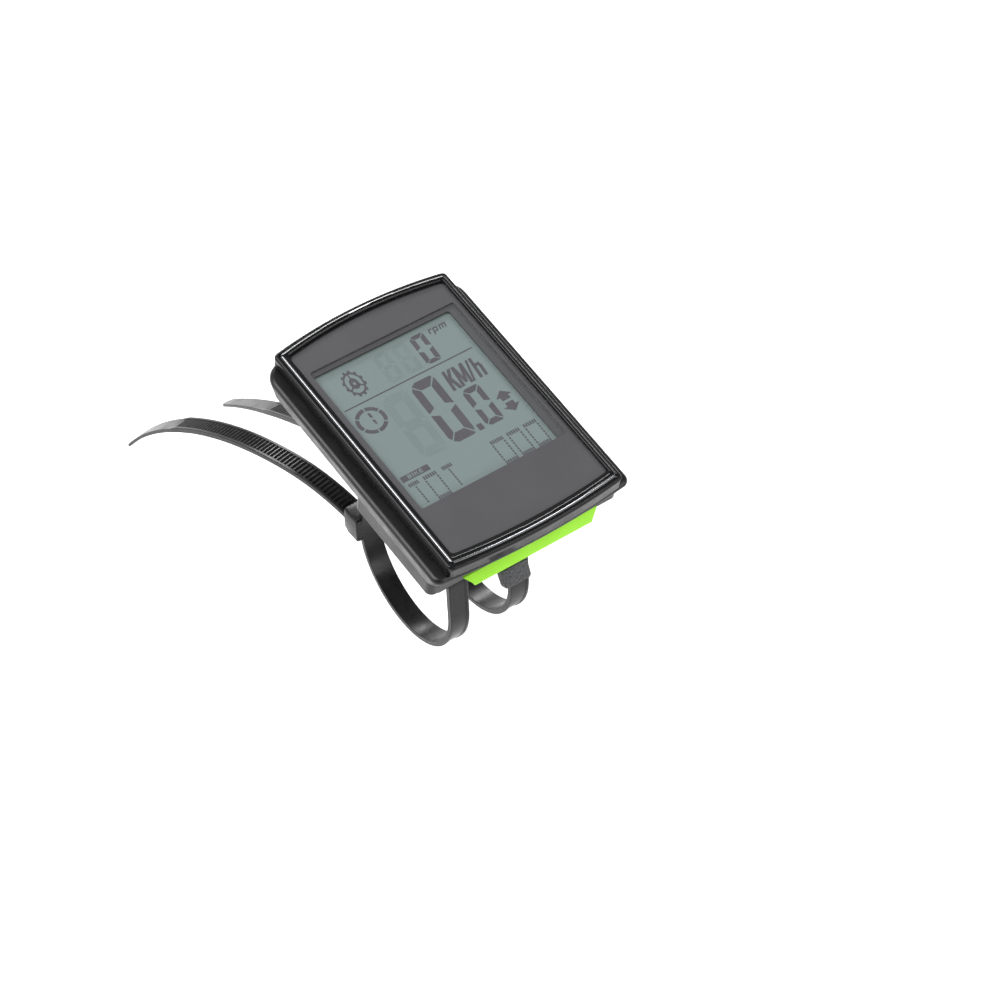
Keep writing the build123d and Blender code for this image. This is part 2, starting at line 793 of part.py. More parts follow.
def strap_loop():
    """The taut ring of strap round the bar and over the saddle, as a face."""
    with BuildSketch() as ring:
        with BuildLine():
            CenterArc((0, 0), bar_r + tie_slack, 0, 360)
            CenterArc((0, 0), pad_r + tie_slack, 90 - pad_far, pad_far + pad_near)
            CenterArc((0, 0), saddle_r + tie_slack, 90 - base_far_turn, base_far_turn + base_near_turn)
        inside = make_hull()
        offset(amount=tie_t, kind=Kind.ARC)
        add(inside, mode=Mode.SUBTRACT)
    return ring.sketch


def tail_line(heading, runs):
    """Tangent arcs that follow a tail from inside the tie's head to its tip."""
    with BuildLine() as path:
        at = Vector(tail_start, tail_drop)
        way = Vector(cos(radians(heading)), sin(radians(heading)))
        for length, turn in runs:
            arc = JernArc(start=at, tangent=way, radius=length / radians(abs(turn)), arc_size=turn)
            at = arc @ 1
            way = arc % 1
    return path.line


for name, (x, skew, heading, runs) in tails.items():
    turn = radians(skew)
    upright = Plane(
        origin=(x, tail_root, 0), x_dir=(-sin(turn), cos(turn), 0), z_dir=(cos(turn), sin(turn), 0)
    )
    with BuildPart() as tie:
        with BuildSketch(Plane.YZ.offset(x)):
            add(strap_loop())
        extrude(amount=tie_w / 2, both=True)
        with BuildSketch(Plane.YZ.offset(x)):
            with PolarLocations(head_mid, 1, start_angle=90 - tie_head_angle):
                Rectangle(tie_head_h, tie_head_l)
        extrude(amount=tie_head_w / 2, both=True)
        with BuildSketch(upright):
            trace(tail_line(heading, runs), line_width=tie_t)
        extrude(amount=tie_w / 2, both=True)
        with BuildSketch(Plane.YZ):
            Circle(bar_r + tie_slack / 2)
        extrude(amount=2 * tie_pitch, both=True, mode=Mode.SUBTRACT)
    save(tie, name)
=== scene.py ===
from math import cos, radians, sin
import bmesh
import bpy
from mathutils import Matrix, Vector


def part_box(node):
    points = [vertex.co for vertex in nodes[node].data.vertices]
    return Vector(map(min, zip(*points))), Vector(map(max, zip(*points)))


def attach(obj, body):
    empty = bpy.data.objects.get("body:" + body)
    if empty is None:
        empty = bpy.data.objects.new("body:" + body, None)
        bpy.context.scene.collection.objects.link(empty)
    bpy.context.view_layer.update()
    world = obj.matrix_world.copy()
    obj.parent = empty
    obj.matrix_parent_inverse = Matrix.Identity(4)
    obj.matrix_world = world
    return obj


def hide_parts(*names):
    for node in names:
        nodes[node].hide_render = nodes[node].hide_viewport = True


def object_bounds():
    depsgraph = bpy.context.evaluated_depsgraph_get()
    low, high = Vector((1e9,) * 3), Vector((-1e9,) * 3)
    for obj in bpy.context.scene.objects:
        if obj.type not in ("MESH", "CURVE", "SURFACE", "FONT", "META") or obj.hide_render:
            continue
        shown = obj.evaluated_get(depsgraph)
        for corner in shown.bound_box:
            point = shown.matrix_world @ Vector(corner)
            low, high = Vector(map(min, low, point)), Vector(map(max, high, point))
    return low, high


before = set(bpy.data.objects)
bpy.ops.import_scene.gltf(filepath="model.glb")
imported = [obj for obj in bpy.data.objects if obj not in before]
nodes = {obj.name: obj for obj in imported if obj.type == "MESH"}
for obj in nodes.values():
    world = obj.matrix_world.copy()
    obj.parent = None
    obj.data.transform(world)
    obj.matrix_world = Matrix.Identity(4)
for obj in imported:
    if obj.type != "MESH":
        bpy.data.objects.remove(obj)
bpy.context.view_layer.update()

# ------------------------------------------------------------------ front case
# The upper shell is black ABS, moulded with a polished rim that frames the lens. It is screwed to the
# rear shell from behind, and its mould leaves a very slight waviness in the gloss.
MM = 0.001


def new_material(name, colour, rough, metal=0.0, coat=0.0, gleam=0.5, ior=1.46):
    """A principled finish, with its shader and its node tree."""
    made = bpy.data.materials.new(name)
    made.use_nodes = True
    shader = made.node_tree.nodes["Principled BSDF"]
    shader.inputs["Base Color"].default_value = (*colour, 1.0)
    shader.inputs["Roughness"].default_value = rough
    shader.inputs["Metallic"].default_value = metal
    shader.inputs["Coat Weight"].default_value = coat
    shader.inputs["Coat Roughness"].default_value = 0.04
    shader.inputs["Specular IOR Level"].default_value = gleam
    shader.inputs["IOR"].default_value = ior
    return made, shader, made.node_tree


def noise(tree, size, detail=3.0, stretch=(1, 1, 1)):
    """Noise whose grains are about size metres across, laid through the piece itself."""
    place = tree.nodes.new("ShaderNodeTexCoord")
    scaled = tree.nodes.new("ShaderNodeMapping")
    scaled.inputs["Scale"].default_value = [s / size for s in stretch]
    grain = tree.nodes.new("ShaderNodeTexNoise")
    grain.inputs["Scale"].default_value = 1.0
    grain.inputs["Detail"].default_value = detail
    tree.links.new(place.outputs["Object"], scaled.inputs["Vector"])
    tree.links.new(scaled.outputs["Vector"], grain.inputs["Vector"])
    return grain.outputs["Fac"]


def spread(tree, value, low, high, start=0.3, end=0.7):
    """Maps a grain to a range, for a colour or a roughness."""
    ramp = tree.nodes.new("ShaderNodeValToRGB")
    for stop, place, shade in zip(ramp.color_ramp.elements, (start, end), (low, high)):
        stop.position = place
        stop.color = (*shade, 1.0)
    tree.links.new(value, ramp.inputs["Fac"])
    return ramp.outputs["Color"]


def roughen(tree, shader, value, low, high):
    """Lets the roughness follow a grain between two values."""
    tree.links.new(spread(tree, value, (low,) * 3, (high,) * 3), shader.inputs["Roughness"])


def bump(tree, shader, value, height):
    """Raises the surface where the grain is bright, by up to height metres."""
    relief = tree.nodes.new("ShaderNodeBump")
    relief.inputs["Distance"].default_value = height
    relief.inputs["Strength"].default_value = 1.0
    tree.links.new(value, relief.inputs["Height"])
    tree.links.new(relief.outputs["Normal"], shader.inputs["Normal"])
    return relief


def tinted(tree, shader, value, low, high, start=0.3, end=0.7):
    """Lets the colour follow a grain between two colours."""
    tree.links.new(spread(tree, value, low, high, start, end), shader.inputs["Base Color"])


def black_plastic(name, colour, rough, wave, grain_size, grain_height, gleam=0.2, edge=0.0):
    """Moulded black plastic: faint change of gloss over its faces, the mould's grain, rounded edges."""
    made, shader, tree = new_material(name, colour, rough[0], gleam=gleam)
    roughen(tree, shader, noise(tree, wave), *rough)
    relief = bump(tree, shader, noise(tree, grain_size), grain_height)
    if edge:
        rounded = tree.nodes.new("ShaderNodeBevel")
        rounded.samples = 6
        rounded.inputs["Radius"].default_value = edge
        tree.links.new(rounded.outputs["Normal"], relief.inputs["Normal"])
    dark, light = [c * 0.8 for c in colour], [c * 1.25 for c in colour]
    tinted(tree, shader, noise(tree, wave * 2), dark, light)
    return made


def finish(piece, *materials):
    """Gives a piece its materials in order, in place of any that it has."""
    if piece.data.materials:
        piece.data.materials.clear()
    for one in materials:
        piece.data.materials.append(one)


def smooth(piece, angle=35):
    """Round faces shade smoothly, and edges sharper than the angle stay crisp."""
    for face in piece.data.polygons:
        face.use_smooth = True
    piece.data.set_sharp_from_angle(angle=radians(angle))


def new_piece(name, mesh_maker):
    """A mesh object made by a function that fills a bmesh."""
    shape = bmesh.new()
    mesh_maker(shape)
    bmesh.ops.remove_doubles(shape, verts=shape.verts, dist=1e-7)
    bmesh.ops.recalc_face_normals(shape, faces=shape.faces)
    data = bpy.data.meshes.new(name)
    shape.to_mesh(data)
    shape.free()
    piece = bpy.data.objects.new(name, data)
    bpy.context.scene.collection.objects.link(piece)
    return piece


def in_model(piece, body, slot, *replaced):
    """Says which body a piece moves with and which CAD nodes it stands for; slot, the material it would wear,
    is not used.
    """
    for name in replaced:
        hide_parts(name)
    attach(piece, body)


# The head's middle, in plan, is the middle of its lens. Both ends of the lens bow outwards.
BOARD_TO_MIDDLE = 30.35 * MM
LENS_HALF_L = 31.35 * MM
BOW_FAR, BOW_NEAR = 2.1 * MM, 1.45 * MM
RIM_DEPTH, RIM_SLOPE = 0.5 * MM, 0.42
lens_low, lens_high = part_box("lens")
lens_half_w = (lens_high.x - lens_low.x) / 2
head_mid = Vector(((lens_low.x + lens_high.x) / 2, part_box("circuit_board")[0].y + BOARD_TO_MIDDLE, 0))


def sloped_rim(shape):
    """The front case, with the rim round the lens sloping gently outwards."""
    shape.from_mesh(nodes["front_case"].data)
    for v in shape.verts:
        if v.co.z < lens_high.z - RIM_DEPTH:
            continue
        x, y = v.co.x - head_mid.x, v.co.y - head_mid.y
        bow = (BOW_FAR if y > 0 else BOW_NEAR) * (1 - (x / lens_half_w) ** 2)
        out = max(abs(x) - lens_half_w, abs(y) - LENS_HALF_L - bow, 0.0)
        v.co.z -= RIM_SLOPE * out


gloss_black = black_plastic(
    "gloss black ABS", (0.006, 0.006, 0.0065), (0.12, 0.24), 6 * MM, 0.5 * MM, 0.002 * MM, 0.14, 0.05 * MM
)
front_shell = new_piece("front_shell", sloped_rim)
finish(front_shell, gloss_black)
smooth(front_shell, 30)
in_model(front_shell, "head", "case_black", "front_case")

# ------------------------------------------------------------------ rear case
# The lower shell is black ABS with a satin skin, drawn in towards its floor, and carries the thick foot
# with the rail's channel. Fine spark-eroded grain, and gloss where hands have polished its flanks.
satin_black = black_plastic(
    "satin black ABS", (0.008, 0.008, 0.0085), (0.24, 0.4), 5 * MM, 0.25 * MM, 0.004 * MM, 0.3, 0.2 * MM
)
finish(nodes["rear_case"], satin_black)

# ------------------------------------------------------------------ lens
# A clear acrylic plate with a bevelled edge, glued into the front case. Its margin is printed black from
# behind, so the margin and the bevel read as polished black, and the middle is clear.
LENS_PROUD, LENS_DEPTH, WINDOW_PLATE = 0.22 * MM, 1.4 * MM, 0.3 * MM
WINDOW_HALF_W, WINDOW_HALF_L = 19.7 * MM, 29.6 * MM
PRINTED, CLEAR, POLISHED, BEVELLED = range(4)
# Rings of the lens from its foot up: inset and drop in millimetres, and the finish of the band above.
LENS_RINGS = (
    (0, 1.4, BEVELLED), (0, 0.4, BEVELLED), (0.08, 0.32, PRINTED),
    (0.23, 0.17, POLISHED), (0.3, 0.11, BEVELLED), (0.6, 0, PRINTED),
)
CORNERS = ((1, 1, 0), (-1, 1, 90), (-1, -1, 180), (1, -1, 270))


def bowed_outline(half_w, half_l, radius, bow_far, bow_near, steps=6, arc=24):
    """Corner-rounded outline whose two ends bow outwards, anticlockwise from the far right corner."""
    points = []

    def end_y(x, far):
        bow = bow_far if far else bow_near
        y = half_l + bow * (1 - (x / half_w) ** 2)
        return y if far else -y

    for cx, cy, start in CORNERS:
        far = cy > 0
        lift = end_y(cx * (half_w - radius), far) - cy * radius
        for i in range(steps + 1):
            turn = radians(start + 90 * i / steps)
            points.append((cx * (half_w - radius) + radius * cos(turn), lift + radius * sin(turn)))
        if start in (0, 180):
            for i in range(1, arc):
                x = (half_w - radius) * (1 - 2 * i / arc) * cx
                points.append((x, end_y(x, far)))
    return points


def ring_of(shape, outline, z):
    """Vertices of an outline at a height, given about the head's middle."""
    return [shape.verts.new((head_mid.x + x, head_mid.y + y, z)) for x, y in outline]


def join_rings(shape, low, high, material=0):
    """Faces between two rings of the same count."""
    for i in range(len(low)):
        j = (i + 1) % len(low)
        face = shape.faces.new((low[i], low[j], high[j], high[i]))
        face.material_index = material


def window_outline(grow=0.0):
    """The clear window's outline, bowed like the lens at both ends, grown by some millimetres."""
    return bowed_outline(
        WINDOW_HALF_W + grow * MM, WINDOW_HALF_L + grow * MM, (1.0 + grow) * MM, 1.8 * MM, 1.2 * MM
    )


def lens_shape(shape):
    """The lens from its foot up its bevelled flank, over the top, and down into the clear plate."""
    top = lens_high.z + LENS_PROUD
    rings = []
    for inset, drop, _ in LENS_RINGS:
        outline = bowed_outline(
            lens_half_w - inset * MM, LENS_HALF_L - inset * MM, (0.8 - inset * 0.4) * MM, BOW_FAR, BOW_NEAR
        )
        rings.append(ring_of(shape, outline, top - drop * MM))
    window = window_outline()
    rings.append(ring_of(shape, window, top))
    for low, high, (_, _, paint) in zip(rings, rings[1:], LENS_RINGS):
        join_rings(shape, low, high, paint)
    clear = shape.faces.new(rings[-1])
    clear.material_index = CLEAR
    under = ring_of(shape, window, top - WINDOW_PLATE)
    join_rings(shape, under, rings[-1], CLEAR)
    foot = ring_of(shape, window, top - LENS_DEPTH)
    join_rings(shape, rings[0], foot)
    join_rings(shape, foot, under)


printed_black = black_plastic(
    "printed black margin", (0.004, 0.004, 0.0045), (0.03, 0.07), 8 * MM, 3 * MM, 0.0015 * MM
)
clear_acrylic, shader, tree = new_material("clear acrylic", (0.02, 0.02, 0.02), 0.03, ior=1.49)
shader.inputs["Alpha"].default_value = 0.08
roughen(tree, shader, noise(tree, 9 * MM), 0.02, 0.06)
polished_edge, shader, tree = new_material("polished bevel", (0.3, 0.31, 0.33), 0.2, metal=0.9)
roughen(tree, shader, noise(tree, 2 * MM), 0.15, 0.3)
bevel, shader, tree = new_material("bevelled acrylic over black", (0.006, 0.006, 0.006), 0.06)
roughen(tree, shader, noise(tree, 3 * MM), 0.04, 0.09)
lens_plate = new_piece("lens_plate", lens_shape)
finish(lens_plate, printed_black, clear_acrylic, polished_edge, bevel)
smooth(lens_plate, 20)
in_model(lens_plate, "head", "lens_clear", "lens")

# ------------------------------------------------------------------ printed mask
# Dark grey ink behind the lens, with a window for the display. Its cut edge stands above the glass, so the
# display sits in a shallow well, stepped along the far and right sides where the well is wider.
VIEW = {"left": -18.2, "right": 16.6, "far": 23.0, "near": -17.0}
STEP_RIGHT, STEP_FAR, HAIR = 2.0, 1.15, 0.001
MASK_TOP = lens_high.z - 0.2 * MM
WELL_STEP = lens_high.z - 0.6 * MM
GLASS_TOP = lens_high.z - 1.24 * MM


def view_outline(grow_left, grow_right, grow_far, grow_near, radius, steps=6):
    """Rounded rectangle about the display's view, grown by so many millimetres each side."""
    left, right = VIEW["left"] - grow_left, VIEW["right"] + grow_right
    near, far = VIEW["near"] - grow_near, VIEW["far"] + grow_far
    points = []
    for x, y, start in ((right, far, 0), (left, far, 90), (left, near, 180), (right, near, 270)):
        cx = x - radius if x == right else x + radius
        cy = y - radius if y == far else y + radius
        for i in range(steps + 1):
            turn = radians(start + 90 * i / steps)
            points.append(((cx + radius * cos(turn)) * MM, (cy + radius * sin(turn)) * MM))
    return points


def ring_to_outline(shape, outer, inner, z, material=0):
    """A flat face between two closed outlines of different counts."""
    rim = ring_of(shape, outer, z)
    hole = ring_of(shape, inner, z)
    edges = []
    for ring in (rim, hole):
        edges += [shape.edges.new((ring[i], ring[(i + 1) % len(ring)])) for i in range(len(ring))]
    made = bmesh.ops.triangle_fill(shape, edges=edges, use_beauty=True, use_dissolve=False)
    for face in made["geom"]:
        if isinstance(face, bmesh.types.BMFace):
            face.material_index = material
    return rim, hole


def mask_shape(shape):
    """The inked plate, and the well's two walls with the step between them."""
    outer = window_outline(0.8)
    step = view_outline(0.0, STEP_RIGHT, STEP_FAR, 0.0, 0.5)
    well = view_outline(0.0, 0.0, 0.0, 0.0, 0.7)
    rim, edge = ring_to_outline(shape, outer, step, MASK_TOP)
    join_rings(shape, ring_of(shape, step, WELL_STEP), edge, 1)
    ledge = view_outline(HAIR, STEP_RIGHT, STEP_FAR, HAIR, 0.5)
    _, hole = ring_to_outline(shape, ledge, well, WELL_STEP, 1)
    join_rings(shape, ring_of(shape, well, GLASS_TOP), hole, 1)
    join_rings(shape, ring_of(shape, outer, GLASS_TOP), rim)


def ink(name, colour):
    """Flat printed ink with a faint unevenness."""
    made, shader, tree = new_material(name, colour, 0.35, coat=0.3)
    tinted(tree, shader, noise(tree, 12 * MM), [c * 0.94 for c in colour], [c * 1.06 for c in colour])
    bump(tree, shader, noise(tree, 0.15 * MM), 0.001 * MM)
    return made


mask_ink = ink("dark grey ink", (0.055, 0.053, 0.057))
well_ink = ink("well wall", (0.052, 0.053, 0.054))
mask_print = new_piece("mask_print", mask_shape)
finish(mask_print, mask_ink, well_ink)
in_model(mask_print, "head", "mask_grey", "display_mask")

# ------------------------------------------------------------------ display glass
# A reflective liquid crystal cell, a sealed pair of glass plates with a grey-green reflector behind, laid on
# the tray below the mask. Its surface has a very fine speckle.
def glass_shape(shape):
    """A plate on the CAD glass's plan, up to just under the well's floor."""
    low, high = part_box("lcd_glass")
    corners = [(low.x, low.y), (high.x, low.y), (high.x, high.y), (low.x, high.y)]
    levels = []
    for z in (low.z, GLASS_TOP - 0.02 * MM):
        levels.append([shape.verts.new((x, y, z)) for x, y in corners])
    join_rings(shape, *levels)
    shape.faces.new(levels[1])
    shape.faces.new(list(reversed(levels[0])))


lcd_green, shader, tree = new_material("reflective display", (0.129, 0.163, 0.159), 0.35)
tinted(tree, shader, noise(tree, 0.12 * MM), (0.121, 0.155, 0.151), (0.136, 0.171, 0.166), 0.35, 0.65)
display_glass = new_piece("display_glass", glass_shape)
finish(display_glass, lcd_green)
in_model(display_glass, "head", "lcd", "lcd_glass")

# ------------------------------------------------------------------ display segments
# The dark figures of the display: a cadence figure, a large speed figure with its decimal, unit letters,
# arrows, a turning-wheel sign, a chainring sign, and dotted characters along the near edge.
SEGMENT_TOP = GLASS_TOP + 0.012 * MM
GHOST_TOP = GLASS_TOP - 0.004 * MM
LABEL_TOP = SEGMENT_TOP + 0.01 * MM
SEGMENT_FOOT = GLASS_TOP - 0.03 * MM
STROKE_STEP = 0.003 * MM
# Everything below is in millimetres about the head's middle. A seven-segment figure is its left, its base,
# its width and height, the widths of its side bars and end bars, and its lean.
LIT_FIGURES = (
    (-2.75, -6.4, 6.2, 17.5, 1.75, 2.5, 0.032),
    (6.1, -6.4, 4.35, 10.55, 1.25, 1.5, 0.032),
    (4.75, 13.5, 3.6, 8.05, 1.1, 1.05, 0.045),
)
UNLIT_FIGURES = (
    (-10.0, -6.4, 6.2, 17.5, 1.75, 2.5, 0.032),
    (-4.6, 13.5, 3.6, 8.05, 1.1, 1.05, 0.032),
    (0.1, 13.5, 3.6, 8.05, 1.1, 1.05, 0.032),
)
TALL_FIGURE, WIDE_GAP, NARROW_GAP = 9, 0.2, 0.14
DECIMAL_POINT = (4.1, -6.4, 1.25, 1.65)
DIVIDING_LINE = (-17.1, 12.4, 32.5, 0.28)
LABEL_PLATE = (-17.1, -9.05, 6.8, 1.5)
DOT_ROW, DOT_WIDE, DOT_LEAN = 0.9, 0.36, 0.02
ZEROS = tuple((left, -16.5, 3.3, 6.7) for left in (3.75, 7.95, 12.2, -13.2))
TEES = tuple((left, -15.7, 2.5, 5.9) for left in (-16.7, -8.4))


def plate(shape, outline, top):
    """A thin raised shape from an outline in millimetres about the head's middle."""
    points = [(x * MM, y * MM) for x, y in outline]
    area = sum(a[0] * b[1] - b[0] * a[1] for a, b in zip(points, points[1:] + points[:1]))
    if area < 0:
        points.reverse()
    high = ring_of(shape, points, top)
    low = ring_of(shape, points, SEGMENT_FOOT)
    shape.faces.new(high)
    join_rings(shape, low, high)


def slanted(points, left, base, lean):
    """Points moved to a place and leant over."""
    return [(left + x + lean * y, base + y) for x, y in points]


def seven_segments(width, height, side, end, gap, lit):
    """Outlines of a seven-segment figure's bars, bevelled where they meet. lit names the bars."""
    mid = height / 2
    cut = end * 0.95
    nick = side * 0.55
    inner = width - side
    bars = {
        "top": [
            (side * 0.35, height - end * 0.28), (side * 0.9, height), (width - side * 0.55, height),
            (width - side * 0.2, height - end * 0.1), (inner - gap, height - cut), (side + gap, height - cut),
        ],
        "upper_left": [
            (0, mid + gap * 1.5), (0, height - end * 0.75), (side * 0.25, height - end * 0.42),
            (side, height - cut - gap), (side, mid + nick + gap),
        ],
        "upper_right": [
            (width, mid + gap * 1.5), (width, height - end * 0.75), (width - side * 0.1, height - end * 0.3),
            (inner, height - cut - gap), (inner, mid + nick + gap),
        ],
        "middle": [
            (nick, mid), (side, mid + end / 2), (inner, mid + end / 2),
            (width - nick, mid), (inner, mid - end / 2), (side, mid - end / 2),
        ],
    }
    for low, high in (("lower_left", "upper_left"), ("lower_right", "upper_right"), ("bottom", "top")):
        bars[low] = [(x, height - y) for x, y in bars[high]]
    return [bars[name] for name in lit]


ZERO = ("top", "upper_left", "upper_right", "lower_left", "lower_right", "bottom")
EIGHT = ZERO + ("middle",)


def arc_band(cx, cy, inner, outer, start, end, squeeze=1.0, steps=10):
    """Part of a flat ring between two turns in degrees, squeezed sideways."""
    turns = [radians(start + (end - start) * i / steps) for i in range(steps + 1)]
    out = [(cx + squeeze * outer * cos(t), cy + outer * sin(t)) for t in turns]
    back = [(cx + squeeze * inner * cos(t), cy + inner * sin(t)) for t in reversed(turns)]
    return out + back


def bar(x, y, w, h):
    """A rectangle from its near left corner."""
    return [(x, y), (x + w, y), (x + w, y + h), (x, y + h)]


def chainring(shape):
    """A toothed ring, squeezed sideways as it is drawn on the display, with its hub and three arms."""
    cx, cy, squeeze, teeth, half_arm = -11.2, 17.6, 0.66, 12, 0.2
    pitch = 360 / teeth
    for k in range(teeth):
        start = pitch * k
        plate(shape, arc_band(cx, cy, 2.68, 3.2, start, start + 30.2, squeeze, 4), SEGMENT_TOP)
        plate(shape, arc_band(cx, cy, 3.18, 3.68, start + 7, start + 20, squeeze, 3), SEGMENT_TOP)
    for k in range(teeth):
        start = pitch * k
        plate(shape, arc_band(cx, cy, 0.45, 1.5, start, start + 30.5, squeeze, 3), SEGMENT_TOP)
    for turn in (90, 210, 330):
        c, s = cos(radians(turn)), sin(radians(turn))
        side_x, side_y = half_arm * s * squeeze, -half_arm * c
        hub, rim = [(cx + squeeze * r * c, cy + r * s) for r in (1.4, 2.7)]
        corners = ((hub, 1), (rim, 1), (rim, -1), (hub, -1))
        plate(shape, [(x + way * side_x, y + way * side_y) for (x, y), way in corners], SEGMENT_TOP)


def wheel_sign(shape):
    """A ring in six parts with two short strokes in it, which run round as the wheel turns."""
    cx, cy, parts = -13.6, 7.75, 6
    for k in range(parts):
        start = 91 + 360 / parts * k
        plate(shape, arc_band(cx, cy, 2.58, 3.44, start, start + 53), SEGMENT_TOP)
    upper = [(0, 0.25), (0.55, 0), (0.55, 1.3), (0, 1.45)]
    lower = [(0, 1.45), (0.55, 1.2), (0.5, 0), (0.1, 0.3)]
    for stroke_line, left, base in ((upper, -13.45, 8.2), (lower, -13.5, 6.35)):
        plate(shape, slanted(stroke_line, left, base, 0.03), SEGMENT_TOP)


def arrow(shape, tip_y, way):
    """A stubby arrow, pointing up or down, with a short stem."""
    tip_x = 13.6
    outline = [(0, 0), (-1.95, -1.6), (-1.0, -1.6), (-1.0, -2.62), (1.0, -2.62), (1.0, -1.6), (1.95, -1.6)]
    plate(shape, [(tip_x + x, tip_y + way * y) for x, y in outline], SEGMENT_TOP)


def dotted_zero(shape, left, base, width, height):
    """A zero made of dots: six across at both ends and six up each side."""
    dots = 6
    step = width / dots
    for k in range(dots):
        for y in (base, base + height - DOT_ROW):
            x = left + step * k + 0.08 + DOT_LEAN * (y - base)
            plate(shape, bar(x, y, step - 0.19, DOT_ROW), SEGMENT_TOP)
    step = (height - 2.1) / dots
    for k in range(dots):
        y = base + 1.15 + step * k
        lean = DOT_LEAN * (y - base)
        for x in (left + lean, left + width - 0.38 + lean):
            plate(shape, bar(x, y, DOT_WIDE, step * 0.66), SEGMENT_TOP)


def dotted_tee(shape, left, base, width, height):
    """A capital tee made of dots: five across and seven down its stem."""
    across, down = 5, 7
    step = width / across
    for k in range(across):
        plate(shape, bar(left + step * k + 0.06, base + height - DOT_ROW, step - 0.16, DOT_ROW), SEGMENT_TOP)
    step = (height - 1.0) / down
    for k in range(down):
        x = left + (width - DOT_WIDE) / 2
        plate(shape, bar(x, base + step * k, DOT_WIDE, step * 0.66), SEGMENT_TOP)


def segments_shape(shape):
    """All lit figures and signs."""
    for left, base, width, height, side, end, lean in LIT_FIGURES:
        gap = WIDE_GAP if height > TALL_FIGURE else NARROW_GAP
        for outline in seven_segments(width, height, side, end, gap, ZERO):
            plate(shape, slanted(outline, left, base, lean), SEGMENT_TOP)
    for oblong in (DECIMAL_POINT, DIVIDING_LINE):
        plate(shape, bar(*oblong), SEGMENT_TOP)
    chainring(shape)
    wheel_sign(shape)
    for tip_y, way in ((0.0, 1), (-5.95, -1)):
        arrow(shape, tip_y, way)
    for zero in ZEROS:
        dotted_zero(shape, *zero)
    for tee in TEES:
        dotted_tee(shape, *tee)
    plate(shape, bar(*LABEL_PLATE), SEGMENT_TOP)


def ghost_shape(shape):
    """The unlit figures, which show faintly in the glass."""
    for left, base, width, height, side, end, lean in UNLIT_FIGURES:
        for outline in seven_segments(width, height, side, end, WIDE_GAP, EIGHT):
            plate(shape, slanted(outline, left, base, lean), GHOST_TOP)


def stroke(x0, y0, x1, y1, w):
    """A straight stroke between two points, cut level at both ends."""
    if abs(y1 - y0) < 1e-6:
        return [(x0, y0 - w / 2), (x1, y0 - w / 2), (x1, y0 + w / 2), (x0, y0 + w / 2)]
    return [(x0 - w / 2, y0), (x0 + w / 2, y0), (x1 + w / 2, y1), (x1 - w / 2, y1)]


# Each letter is its advance and its strokes: start, end and width. Heights are parts of the letter's height.
LETTERS = {
    "K": (2.3, [(0.36, 0, 0.36, 1, 0.72), (0.62, 0.38, 1.75, 1, 0.8), (0.85, 0.62, 1.85, 0, 0.82)]),
    "M": (2.9, [
        (0.34, 0, 0.34, 1, 0.68), (2.4, 0, 2.4, 1, 0.68),
        (0.45, 1, 1.37, 0.12, 0.6), (2.29, 1, 1.37, 0.12, 0.6),
    ]),
    "/": (1.55, [(0.1, 0, 1.0, 1, 0.5)]),
    "h": (2.3, [(0.34, 0, 0.34, 1, 0.68), (1.62, 0, 1.62, 0.55, 0.68), (0.6, 0.62, 1.72, 0.62, 0.72)]),
    "r": (1.15, [(0.2, 0, 0.2, 1, 0.34), (0.3, 0.88, 0.95, 0.88, 0.28)]),
    "p": (1.75, [
        (0.2, -0.5, 0.2, 1, 0.34), (1.15, 0.05, 1.15, 0.95, 0.34),
        (0.3, 0.88, 1.1, 0.88, 0.28), (0.3, 0.12, 1.1, 0.12, 0.28),
    ]),
    "m": (2.2, [
        (0.2, 0, 0.2, 1, 0.34), (0.95, 0, 0.95, 0.9, 0.32),
        (1.7, 0, 1.7, 0.9, 0.34), (0.3, 0.88, 1.75, 0.88, 0.28),
    ]),
    "B": (1.1, [
        (0.1, 0, 0.1, 1, 0.2), (0.72, 0.08, 0.72, 0.92, 0.2),
        (0.15, 0.9, 0.7, 0.9, 0.2), (0.15, 0.5, 0.7, 0.5, 0.2), (0.15, 0.1, 0.7, 0.1, 0.2),
    ]),
    "I": (0.55, [(0.15, 0, 0.15, 1, 0.22)]),
    "E": (1.0, [
        (0.1, 0, 0.1, 1, 0.2), (0.15, 0.9, 0.75, 0.9, 0.2),
        (0.15, 0.5, 0.65, 0.5, 0.2), (0.15, 0.1, 0.75, 0.1, 0.2),
    ]),
    "k": (1.1, [(0.1, 0, 0.1, 1, 0.2), (0.2, 0.4, 0.75, 1, 0.22), (0.35, 0.6, 0.78, 0, 0.22)]),
}


def write(shape, text, left, base, height, squeeze, lean, top):
    """Letters built of strokes, each stroke a hair higher than the last where they cross."""
    at = left
    for letter in text:
        advance, strokes = LETTERS[letter]
        for count, (x0, y0, x1, y1, w) in enumerate(strokes):
            outline = stroke(x0, y0 * height, x1, y1 * height, w)
            placed = [(at + x * squeeze + lean * y, base + y) for x, y in outline]
            plate(shape, placed, top + count * STROKE_STEP)
        at += advance * squeeze


def units_shape(shape):
    """The two unit marks beside the figures."""
    write(shape, "KM/h", 5.35, 4.95, 5.45, 1.02, 0.1, SEGMENT_TOP)
    write(shape, "rpm", 9.8, 20.1, 1.25, 0.92, 0.2, SEGMENT_TOP)


def label_shape(shape):
    """The light letters on the dark label."""
    write(shape, "BIkE", -15.6, -8.78, 0.95, 1.05, 0.05, LABEL_TOP)


